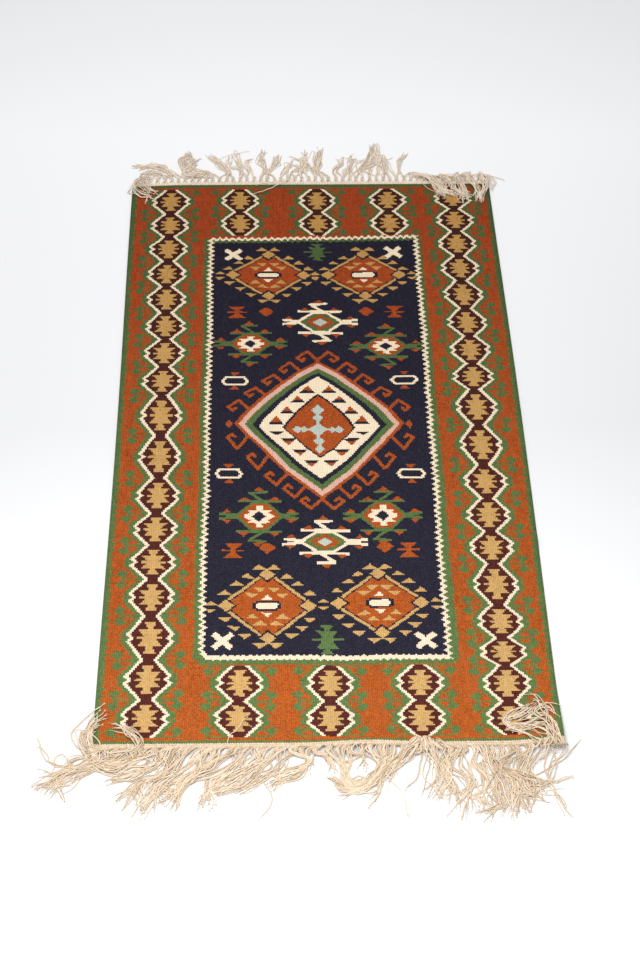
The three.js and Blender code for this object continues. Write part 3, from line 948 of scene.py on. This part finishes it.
# ---- Fringe: how it lies ----
# Locks of warp yarn leave the near heading and the far knots, and lie in bunches, combed aside, curled,
# or thrown back over the face. A bunch takes its yarn from the locks between its roots. Along its way,
# each stop is a place, the half width of the bunch there, and the height of the heap.
NEAR_BUNCHES = (
    {"roots": (-376, -340), "share": 1.0,
     "way": ((-376, -752, 6, 5), (-402, -768, 9, 7), (-426, -781, 12, 7), (-453, -803, 15, 4))},
    {"roots": (-376, -340), "share": 0.6,
     "way": ((-384, -735, 6, 8), (-391, -706, 7, 8), (-380, -682, 7, 6), (-363, -664, 4, 4))},
    {"roots": (-350, -290), "share": 1.3,
     "way": ((-348, -757, 7, 6), (-386, -769, 9, 8), (-420, -784, 12, 6), (-448, -816, 15, 4))},
    {"roots": (-345, -295), "share": 0.5,
     "way": ((-303, -738, 3, 6), (-304, -716, 5, 8), (-322, -702, 6, 8), (-348, -688, 5, 5))},
    {"roots": (-320, -255), "share": 1.2,
     "way": ((-306, -760, 8, 6), (-338, -776, 9, 9), (-368, -764, 9, 10), (-382, -730, 9, 12),
             (-386, -700, 8, 10), (-374, -676, 5, 6))},
    {"roots": (-300, -235), "share": 0.9,
     "way": ((-282, -766, 8, 5), (-314, -782, 9, 5), (-352, -794, 8, 3))},
    {"roots": (-262, -200), "share": 1.0,
     "way": ((-262, -776, 10, 7), (-300, -800, 10, 6), (-318, -842, 8, 3))},
    {"roots": (-230, -165), "share": 1.2,
     "way": ((-235, -776, 10, 8), (-270, -803, 11, 7), (-290, -856, 8, 3))},
    {"roots": (-205, -140), "share": 1.0,
     "way": ((-207, -773, 10, 8), (-248, -803, 12, 7), (-272, -836, 9, 3))},
    {"roots": (-180, -120), "share": 0.8,
     "way": ((-186, -773, 10, 8), (-224, -803, 10, 6), (-238, -848, 6, 3))},
    {"roots": (-150, -85), "share": 1.0,
     "way": ((-150, -770, 10, 7), (-182, -801, 10, 6), (-202, -846, 8, 3))},
    {"roots": (-120, -55), "share": 1.0,
     "way": ((-110, -764, 9, 7), (-146, -792, 10, 6), (-190, -818, 9, 3))},
    {"roots": (-100, -40), "share": 0.6,
     "way": ((-88, -772, 7, 6), (-118, -795, 7, 5), (-150, -815, 6, 3))},
    {"roots": (-62, -12), "share": 1.0,
     "way": ((-34, -760, 5, 6), (-62, -786, 7, 5), (-100, -808, 7, 3))},
    {"roots": (-45, -15), "share": 0.5,
     "way": ((-30, -762, 4, 6), (-26, -790, 4, 3))},
    {"roots": (-25, 12), "share": 1.0,
     "way": ((-6, -752, 4, 6), (4, -776, 3, 3))},
    {"roots": (5, 60), "share": 1.0,
     "way": ((20, -768, 5, 7), (24, -798, 6, 6), (44, -812, 6, 4), (66, -800, 5, 3))},
    {"roots": (55, 125), "share": 1.0,
     "way": ((94, -762, 8, 8), (72, -792, 7, 8), (44, -810, 6, 7), (16, -802, 5, 4), (4, -795, 3, 3))},
    {"roots": (50, 110), "share": 0.5,
     "way": ((84, -775, 5, 6), (58, -806, 4, 5), (14, -826, 3, 3))},
    {"roots": (20, 60), "share": 0.4,
     "way": ((52, -755, 4, 6), (60, -778, 4, 4))},
    {"roots": (75, 110), "share": 0.4,
     "way": ((86, -782, 3, 5), (72, -820, 3, 3), (52, -842, 3, 2))},
    {"roots": (118, 158), "share": 1.0,
     "way": ((142, -722, 7, 9), (120, -744, 7, 9), (98, -772, 5, 8), (86, -800, 4, 5))},
    {"roots": (130, 165), "share": 0.6,
     "way": ((125, -752, 8, 4), (95, -768, 6, 4), (70, -782, 5, 3))},
    {"roots": (140, 200), "share": 1.0,
     "way": ((160, -722, 12, 9), (166, -748, 12, 8), (162, -790, 13, 6), (164, -840, 17, 3))},
    {"roots": (165, 222), "share": 1.0,
     "way": ((192, -770, 12, 7), (204, -805, 14, 6), (212, -864, 14, 3))},
    {"roots": (160, 215), "share": 0.6,
     "way": ((180, -770, 11, 6), (186, -805, 14, 5), (180, -838, 16, 3))},
    {"roots": (215, 262), "share": 1.0,
     "way": ((236, -768, 12, 7), (248, -800, 14, 6), (244, -835, 14, 4), (226, -862, 12, 3))},
    {"roots": (235, 312), "share": 1.4,
     "way": ((258, -774, 16, 8), (276, -808, 19, 9), (284, -866, 22, 4))},
    {"roots": (290, 345), "share": 1.0,
     "way": ((304, -780, 13, 8), (316, -810, 16, 8), (334, -838, 19, 4))},
    {"roots": (290, 340), "share": 0.5,
     "way": ((302, -788, 10, 8), (322, -804, 10, 8), (312, -828, 10, 6), (290, -816, 9, 5))},
    {"roots": (315, 350), "share": 0.7,
     "way": ((335, -728, 6, 8), (318, -712, 7, 9), (296, -708, 6, 8), (280, -695, 5, 6))},
    {"roots": (330, 376), "share": 1.0,
     "way": ((350, -724, 7, 9), (342, -700, 8, 10), (300, -700, 9, 9), (282, -686, 8, 7),
             (306, -668, 6, 6), (334, -656, 5, 4))},
    {"roots": (345, 376), "share": 0.7,
     "way": ((356, -728, 6, 9), (350, -700, 7, 11), (344, -668, 6, 9), (336, -640, 5, 6),
             (318, -625, 4, 3))},
    {"roots": (340, 376), "share": 0.5,
     "way": ((362, -722, 5, 9), (352, -690, 7, 11), (338, -672, 7, 9), (352, -662, 5, 7),
             (374, -676, 4, 4))},
    {"roots": (345, 376), "share": 0.4,
     "way": ((352, -772, 4, 6), (344, -806, 3, 4), (352, -832, 2, 3), (368, -868, 2, 2))},
)
FAR_BUNCHES = (
    {"roots": (-376, -345), "share": 1.0,
     "way": ((-360, 750, 6, 7), (-372, 730, 7, 9), (-370, 706, 9, 9), (-350, 684, 7, 8),
             (-334, 658, 5, 4))},
    {"roots": (-376, -335), "share": 0.7,
     "way": ((-352, 744, 6, 8), (-350, 722, 7, 9), (-336, 704, 5, 7), (-320, 694, 3, 4))},
    {"roots": (-370, -325), "share": 0.8,
     "way": ((-345, 756, 6, 7), (-362, 742, 8, 9), (-366, 718, 9, 11), (-346, 690, 7, 9),
             (-330, 672, 5, 4))},
    {"roots": (-345, -290), "share": 0.9,
     "way": ((-318, 758, 6, 7), (-338, 768, 7, 8), (-352, 762, 6, 7), (-356, 748, 6, 4))},
    {"roots": (-325, -262), "share": 1.0,
     "way": ((-296, 762, 6, 7), (-316, 780, 7, 7), (-342, 786, 7, 5), (-372, 788, 6, 3))},
    {"roots": (-268, -190), "share": 1.1,
     "way": ((-225, 762, 9, 8), (-250, 768, 9, 9), (-264, 786, 9, 9), (-268, 810, 8, 6),
             (-262, 836, 6, 3))},
    {"roots": (-262, -200), "share": 0.7,
     "way": ((-240, 756, 8, 7), (-262, 768, 7, 7), (-258, 790, 8, 6), (-246, 812, 5, 3))},
    {"roots": (-205, -162), "share": 1.0,
     "way": ((-180, 765, 6, 6), (-196, 796, 7, 6), (-222, 824, 6, 3))},
    {"roots": (-190, -160), "share": 0.6,
     "way": ((-175, 768, 4, 6), (-192, 800, 4, 5), (-215, 832, 3, 2))},
    {"roots": (-165, -125), "share": 1.0,
     "way": ((-142, 775, 7, 6), (-155, 806, 7, 6), (-166, 838, 6, 3))},
    {"roots": (-160, -130), "share": 0.5,
     "way": ((-156, 776, 5, 6), (-176, 784, 5, 6), (-180, 808, 5, 4), (-168, 830, 4, 3))},
    {"roots": (-135, -115), "share": 0.4,
     "way": ((-130, 778, 3, 5), (-136, 806, 3, 4), (-122, 826, 2, 2))},
    {"roots": (-122, -82), "share": 1.2,
     "way": ((-104, 775, 8, 6), (-106, 805, 9, 6), (-102, 850, 8, 3))},
    {"roots": (-95, -66), "share": 0.8,
     "way": ((-88, 768, 4, 5), (-80, 798, 5, 5), (-72, 828, 4, 3))},
    {"roots": (-72, -38), "share": 1.0,
     "way": ((-56, 770, 6, 6), (-46, 792, 6, 6), (-18, 806, 8, 4))},
    {"roots": (-60, -30), "share": 0.8,
     "way": ((-42, 766, 4, 6), (-18, 776, 5, 7), (14, 778, 5, 4))},
    {"roots": (-40, 0), "share": 1.0,
     "way": ((-22, 772, 7, 7), (-12, 800, 7, 6), (-10, 848, 5, 3))},
    {"roots": (-5, 48), "share": 1.4,
     "way": ((14, 772, 8, 8), (14, 802, 8, 7), (24, 852, 7, 3))},
    {"roots": (-5, 40), "share": 0.5,
     "way": ((4, 772, 6, 7), (-8, 790, 7, 7), (-24, 806, 5, 5), (-44, 830, 4, 2))},
    {"roots": (38, 66), "share": 0.8,
     "way": ((52, 772, 4, 5), (60, 800, 4, 5), (66, 820, 5, 3))},
    {"roots": (60, 105), "share": 1.1,
     "way": ((76, 770, 8, 7), (82, 794, 7, 7), (90, 814, 5, 5), (92, 838, 6, 3))},
    {"roots": (75, 110), "share": 0.4,
     "way": ((94, 775, 5, 7), (100, 798, 5, 6), (122, 806, 5, 3))},
    {"roots": (85, 140), "share": 1.2,
     "way": ((112, 774, 8, 7), (126, 804, 8, 7), (132, 864, 5, 3))},
    {"roots": (125, 155), "share": 1.0,
     "way": ((140, 776, 5, 6), (141, 815, 6, 6), (139, 864, 4, 3))},
    {"roots": (142, 188), "share": 1.2,
     "way": ((160, 776, 9, 7), (160, 806, 9, 7), (172, 830, 10, 3))},
    {"roots": (142, 175), "share": 0.6,
     "way": ((152, 782, 6, 6), (146, 806, 7, 5), (150, 838, 5, 3))},
    {"roots": (170, 205), "share": 1.0,
     "way": ((184, 770, 4, 5), (192, 802, 5, 5), (206, 842, 4, 3))},
    {"roots": (190, 262), "share": 1.0,
     "way": ((214, 760, 6, 7), (240, 754, 8, 9), (258, 732, 9, 9), (270, 700, 8, 8), (284, 680, 7, 4))},
    {"roots": (200, 262), "share": 0.6,
     "way": ((236, 752, 6, 8), (262, 728, 8, 10), (276, 704, 8, 8), (296, 684, 6, 4))},
    {"roots": (250, 300), "share": 1.0,
     "way": ((270, 756, 6, 8), (290, 734, 9, 10), (308, 706, 9, 10), (326, 678, 6, 4))},
    {"roots": (262, 310), "share": 0.6,
     "way": ((276, 756, 6, 8), (276, 722, 8, 10), (268, 696, 7, 8), (264, 680, 6, 4))},
    {"roots": (295, 345), "share": 1.0,
     "way": ((312, 764, 8, 8), (308, 738, 8, 11), (316, 706, 9, 10), (318, 662, 7, 4))},
    {"roots": (300, 350), "share": 1.0,
     "way": ((332, 764, 8, 8), (336, 736, 8, 11), (346, 700, 8, 10), (350, 664, 6, 4))},
    {"roots": (335, 376), "share": 1.3,
     "way": ((356, 762, 8, 8), (368, 740, 8, 10), (368, 712, 7, 9), (360, 682, 6, 8), (354, 660, 5, 4))},
    {"roots": (350, 376), "share": 0.5,
     "way": ((374, 752, 5, 7), (382, 730, 4, 8), (386, 704, 4, 3))},
)
NEAR_LOOSE = (
    ((-163, -728), (-160, -716), (-150, -702), (-132, -676)),
    ((-372, -744), (-402, -728), (-411, -706), (-402, -688), (-382, -664), (-364, -646)),
    ((-420, -768), (-447, -752), (-465, -712)),
    ((-405, -766), (-438, -760), (-448, -742), (-460, -728)),
    ((-405, -762), (-434, -766), (-431, -748), (-423, -744), (-412, -754)),
    ((-112, -745), (-116, -775), (-106, -800), (-92, -826), (-97, -850), (-114, -868)),
    ((90, -745), (86, -780), (98, -802), (112, -828), (118, -862)),
    ((146, -748), (136, -790), (118, -815)),
    ((312, -750), (318, -790), (345, -775), (372, -760), (398, -724)),
    ((345, -742), (338, -785), (346, -812), (368, -866)),
    ((352, -742), (358, -775), (340, -806), (300, -812)),
)
FAR_LOOSE = (
    ((-37, 745), (-56, 730), (-82, 710), (-118, 690)),
    ((-50, 738), (-80, 727), (-112, 721)),
    ((352, 756), (376, 754), (394, 748), (406, 740)),
    ((-190, 792), (-200, 810), (-172, 828), (-138, 842)),
)
YARNS_A_LOCK = {-1: 9, 1: 7}
YARN_RADIUS = {-1: 1.15, 1: 1}
YARN_STEPS = 24
ROOT_OUT = {-1: 6, 1: 21}
ROOT_SPREAD = {-1: 5.2, 1: 2.4}
ROOT_SWAY = {-1: 2.6, 1: 0}
SWING = {-1: 1, 1: 0.6}
SPREAD = 1.25
YARN_SIDES = 5
LOOSE_STEPS = 30
LOOSE_RISE = 3.0
TIP_FIBRES = 2
TIP_FIBRE_RADIUS = 0.5
TIP_FIBRE_SIDES = 3
TIP_SHARE = 0.96
LONE_YARNS = 0.08


def wander(rng, count, share, sizes):
    """Waves of random phase along a yarn, one for each (height, waves) pair, growing from the root."""
    total = 0
    for height, waves in sizes:
        phase = rng.uniform(0, 2 * math.pi, (count, 1))
        pace = waves * rng.uniform(0.7, 1.3, (count, 1))
        total = total + height * np.sin(2 * math.pi * pace * share + phase)
    return total * smooth(share * 4)


def lay_yarn(end, yarns, paths, rise, rng, swing):
    """Yarn along flat paths (n, k, 2), swung aside, at a height above what it lies on. It thins at its
    tip, where a few untwisted fibres spread."""
    share = np.linspace(0, 1, paths.shape[1])
    n = len(paths)
    ahead = np.gradient(paths, axis=1)
    ahead = ahead / np.linalg.norm(ahead, axis=2, keepdims=True)
    swing = swing + SWING[end] * wander(rng, n, share, ((1.1, 1.5), (0.5, 3.6)))
    x = paths[:, :, 0] - ahead[:, :, 1] * swing
    y = paths[:, :, 1] + ahead[:, :, 0] * swing
    bounce = 0.5 + 0.5 * np.clip(wander(rng, n, share, ((0.7, 1.5), (0.5, 3.5))), -1, 1)
    thick = YARN_RADIUS[end] * rng.uniform(0.62, 1.1, (n, 1)) * (1 - 0.12 * share)
    thick = thick * np.where(share > TIP_SHARE, 0.6, 1)
    z = rest_height(end, x, y) + thick + rise * (0.25 + 0.75 * bounce)
    root_height = 2.4 + lift_at(x[:, :1], y[:, :1]) * 0.8
    z = root_height + (z - root_height) * smooth(share * 7)
    # The yarn is darker at its root, where it leaves the heading in a heap, and paler towards its tip:
    # painted shade.
    tones = END_TONE_AND_SHADE[end] + 0.05 + rng.normal(0, 0.17, (n, 1)) + 0.1 * share
    laid = np.stack([x, y, z], axis=2)
    yarns.add(laid, thick, YARN_SIDES, tones)
    tip = np.repeat(laid[:, -1], TIP_FIBRES, axis=0)
    onward = np.repeat(laid[:, -1] - laid[:, -2], TIP_FIBRES, axis=0)
    onward = onward / np.linalg.norm(onward, axis=1, keepdims=True)
    onward = onward + rng.normal(0, 0.28, onward.shape) * (1, 1, 0.3)
    reach = rng.uniform(3, 6, (len(tip), 1, 1))
    fibres = tip[:, None] + onward[:, None] * reach * np.linspace(-0.15, 1, 4)[:, None]
    fibres[:, :, 2] = np.maximum(fibres[:, :, 2], rest_height(end, fibres[:, :, 0], fibres[:, :, 1]) + 0.4)
    radii = np.full(fibres.shape[:2], TIP_FIBRE_RADIUS)
    yarns.add(fibres, radii, TIP_FIBRE_SIDES, END_TONE_AND_SHADE[end] + 0.4)


def lay_bunches(end, bunches, yarns, rng):
    """Shares each lock's yarns among the bunches that reach it, and lays them along those bunches. The
    yarns of one lock keep together, and loosen a little towards their tips."""
    locks = LOCKS[end]
    a_lock = YARNS_A_LOCK[end]
    root = np.repeat(lock_places(end), a_lock)
    lock = np.repeat(np.arange(locks), a_lock)
    reach = np.array([
        (root >= bunch["roots"][0]) & (root <= bunch["roots"][1]) for bunch in bunches
    ]) * np.array([[bunch["share"]] for bunch in bunches])
    limits = np.cumsum(reach, axis=0)
    draw = (np.tile(np.arange(a_lock), locks) + rng.uniform(0, 1, len(root))) / a_lock
    chosen = (limits <= draw * limits[-1]).sum(axis=0)
    share = np.linspace(0, 1, YARN_STEPS)
    for k, bunch in enumerate(bunches):
        mine, lock_of = root[chosen == k], lock[chosen == k]
        n = len(mine)
        if n == 0:
            continue
        way = np.array(bunch["way"], dtype=float)
        aside = ROOT_SPREAD[end] * rng.uniform(-1, 1, n) + ROOT_SWAY[end] * rng.normal(0, 1, locks)[lock_of]
        origin = np.stack([mine + 0.6 * aside, end_place(end, mine, ROOT_OUT[end])], axis=1)
        first_x = mine + lean(end, mine) + aside
        first = np.stack([first_x, end_place(end, mine, KNOT_OUT[end] + 5)], axis=1)
        toward = way[0, :2] - first
        toward = toward / np.linalg.norm(toward, axis=1, keepdims=True)
        second = first + (toward + (0, end * 0.6)) * 3.5
        middle = (bunch["roots"][0] + bunch["roots"][1]) / 2
        from_root = np.concatenate([[[middle, end_place(end, middle, KNOT_OUT[end])]], way[:, :2]])
        ahead = np.gradient(from_root, axis=0)[1:]
        ahead = ahead / np.linalg.norm(ahead, axis=1, keepdims=True)
        across = np.stack([ahead[:, 1], -ahead[:, 0]], axis=1)
        if across[0, 0] < 0:
            across = -across
        ranked = (np.argsort(np.argsort(mine)) + 0.5) / n * 2 - 1
        together = rng.normal(0, 0.4, (locks, len(way)))[lock_of] + rng.normal(0, 0.25, (locks, 1))[lock_of]
        apart = rng.normal(0, 0.4, (n, len(way))) * np.linspace(0.6, 1.5, len(way))
        stray = np.where(rng.uniform(0, 1, n) < LONE_YARNS, rng.uniform(-1.8, 1.8, n), 0)
        shift = 0.6 * (ranked + stray)[:, None] + together + apart
        stops = way[None, :, :2] + across * (SPREAD * way[:, 2] * shift)[:, :, None]
        stops[:, -1] += ahead[-1] * (rng.uniform(-18, 6, (locks, 1))[lock_of] + rng.uniform(-18, 4, (n, 1)))
        points = np.concatenate([origin[:, None], first[:, None], second[:, None], stops], axis=1)
        paths = spline(points, YARN_STEPS)
        heap = np.interp(share, np.linspace(0.15, 1, len(way)), way[:, 3])
        level = rng.uniform(0, 1, (locks, 1))[lock_of] * 0.7 + rng.uniform(0, 0.3, (n, 1))
        swing = SWING[end] * wander(rng, locks, share, ((2.6, 1.1), (0.9, 2.4)))[lock_of]
        lay_yarn(end, yarns, paths, heap * level, rng, swing)


def fringe(end, bunches, loose, name):
    rng = np.random.default_rng(SEED + end)
    yarns = Yarns()
    heading_and_knots(end, yarns, rng)
    lay_bunches(end, bunches, yarns, rng)
    for way in loose:
        paths = spline(np.array([way], dtype=float), LOOSE_STEPS)
        lay_yarn(end, yarns, paths, LOOSE_RISE, rng, 0)
    return yarns.build(name)


fringe_near = fringe(-1, NEAR_BUNCHES, NEAR_LOOSE, "fringe_near_yarn")
fringe_far = fringe(1, FAR_BUNCHES, FAR_LOOSE, "fringe_far_yarn")


# ---- Fringe: undyed yarn ----
# Cream yarn, a little darker in some strands, with a fine twist; its colour follows a per-point tone that
# carries painted shade too, and is darkened in the grooves between the plies, a painted shade.
DARK_STRAND = linear(191, 167, 136)
PALE_STRAND = linear(249, 233, 213)
undyed, start, finish_surface = new_material("undyed_warp_yarn")
tone = start.make("ShaderNodeAttribute", out=2, attribute_name="tone")
turn = start.make("ShaderNodeAttribute", out=2, attribute_name="turn")
plies = (turn * (2 * math.pi)).maths("SINE").maths("ABSOLUTE")
fibres = start.make("ShaderNodeTexCoord", out=3).noise(700, 2)
undyed_colour = start.make(
    "ShaderNodeMix",
    {0: tone, 6: (*DARK_STRAND, 1), 7: (*PALE_STRAND, 1)},
    out=2,
    data_type="RGBA",
)
bump = start.make(
    "ShaderNodeBump", {"Height": plies + fibres * 0.5, "Strength": 0.6, "Distance": 0.0006},
)
# The plies term darkens the colour in the grooves between the plies: painted shade.
finish_surface(undyed_colour.shaded(0.84 + plies * 0.12 + fibres * 0.12), 0.9 - fibres * 0.05, bump, 0.05)
for yarn_piece, node in ((fringe_near, "fringe_near"), (fringe_far, "fringe_far")):
    yarn_piece.data.materials.append(undyed)
    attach(yarn_piece, "root")
    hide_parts(node)


# ---- Floor and light ----
# A pale studio floor, lit by broad soft lamps; its colour is painted light and shade, darker in the middle
# and at the near end and lighter towards the far end.
FLOOR_HALF = 9
floor = mesh_from(
    "studio_floor",
    np.array([[-1, -1, 0], [1, -1, 0], [1, 1, 0], [-1, 1, 0]]) * FLOOR_HALF / MM - [0, 0, 0.15],
    [0, 1, 2, 3],
    [4],
)
paint, start, finish_surface = new_material("studio_paper")
place = start.make("ShaderNodeTexCoord", out=3)
along = start.make("ShaderNodeSeparateXYZ", {0: place}, out=1)
# Painted light and shade: the floor's colour changes along it to offset where the lamps fall.
paper_painted_light = start.make(
    "ShaderNodeValToRGB",
    {"Fac": along / 3 + 0.5},
    stops=((0.2, (0.75, 0.75, 0.75)), (0.5, (0.71, 0.71, 0.72)), (0.8, (0.94, 0.94, 0.95))),
)
speckle = place.noise(300, 2)
bump = start.make("ShaderNodeBump", {"Height": speckle, "Strength": 0.05, "Distance": 0.0005})
finish_surface(paper_painted_light, 0.75, bump, 0.0)
floor.data.materials.append(paint)
floor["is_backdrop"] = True

LAMPS = (
    {"name": "near_lamp", "place": (-0.2, -1.3, 1.8), "aim": (-0.05, -1.0, 0), "size": 1.4, "power": 20,
     "spread": 118},
    {"name": "key_lamp", "place": (-1.3, 1.4, 4.2), "aim": (0.45, 0.5, 0), "size": 1.8, "power": 20,
     "spread": 90},
)
for lamp in LAMPS:
    data = bpy.data.lights.new(lamp["name"], "AREA")
    data.size = lamp["size"]
    data.energy = lamp["power"]
    data.spread = math.radians(lamp["spread"])
    obj = bpy.data.objects.new(lamp["name"], data)
    obj.location = lamp["place"]
    obj.rotation_euler = (Vector(lamp["aim"]) - Vector(lamp["place"])).to_track_quat("-Z", "Y").to_euler()
    obj.visible_camera = False
    bpy.context.collection.objects.link(obj)

room = bpy.data.worlds.new("studio_room")
room.use_nodes = True
room.node_tree.nodes["Background"].inputs["Color"].default_value = (0.98, 0.99, 1, 1)
room.node_tree.nodes["Background"].inputs["Strength"].default_value = 0.5
bpy.context.scene.world = room
bpy.context.scene.view_settings.view_transform = "Standard"

low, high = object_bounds()
